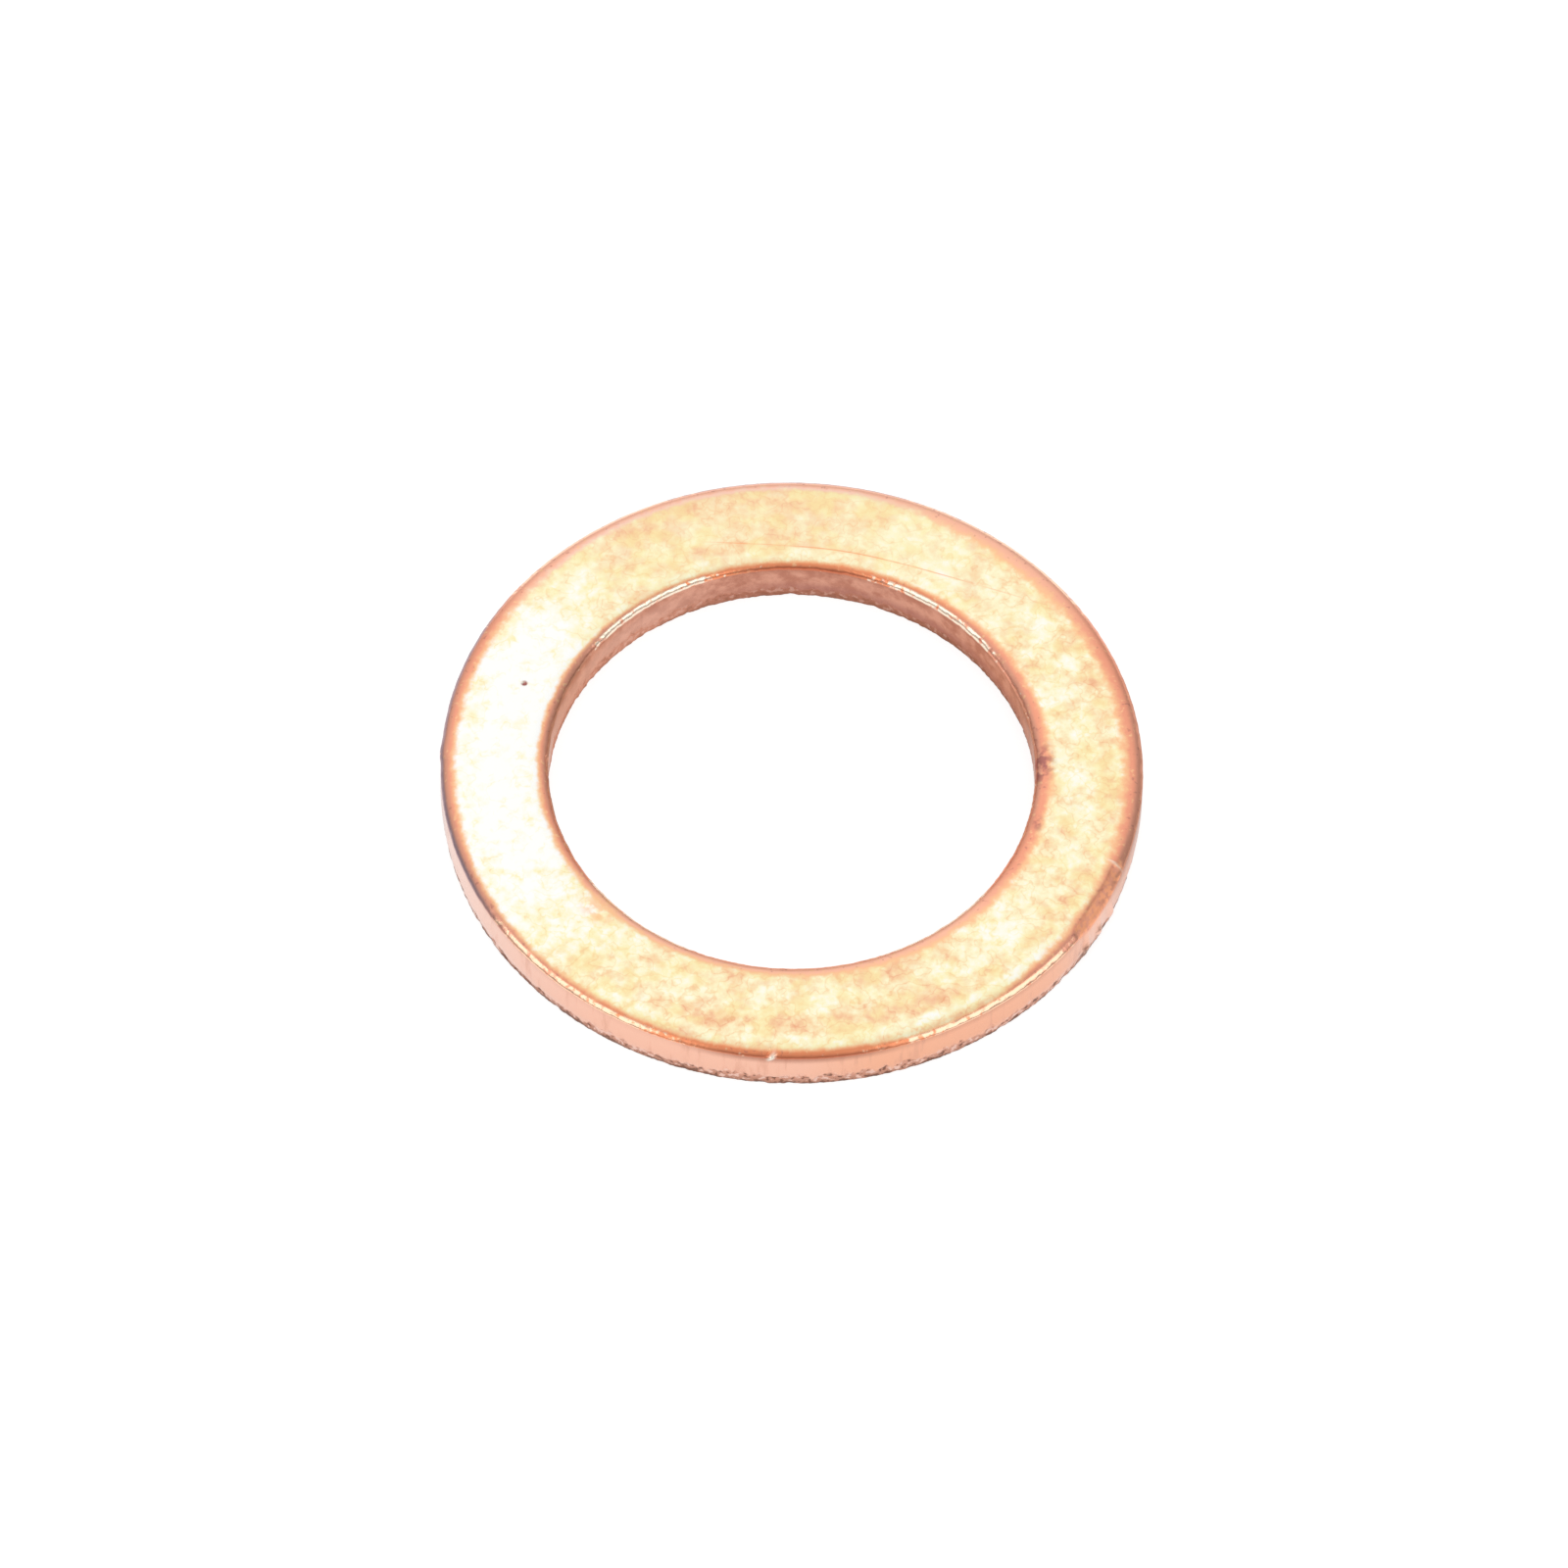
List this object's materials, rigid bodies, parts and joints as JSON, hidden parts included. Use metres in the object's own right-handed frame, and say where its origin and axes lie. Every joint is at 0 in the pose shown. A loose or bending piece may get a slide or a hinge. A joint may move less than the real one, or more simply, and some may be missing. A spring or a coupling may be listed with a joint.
{
  "type": "oil pan drain plug sealing washer",
  "caption": "Flat soft copper ring that seals a drain plug against an oil pan: rounded die rolls on its upper edges, sheared walls and a torn band at their foot.",
  "frame": {"origin": "centre of the lower face, on the axis of the hole", "axes": "+Z along the axis of the hole, from the torn burr side up to the face with the rounded edges; +X and +Y lie in the lower face, and -Y points to the front"},
  "size_m": [0.0202, 0.0202, 0.0016],
  "materials": {
    "copper": "satin rolled faces with sheared and torn edges"
  },
  "bodies": {
    "root": {"sealing_washer": "copper"}
  },
  "joints": []
}
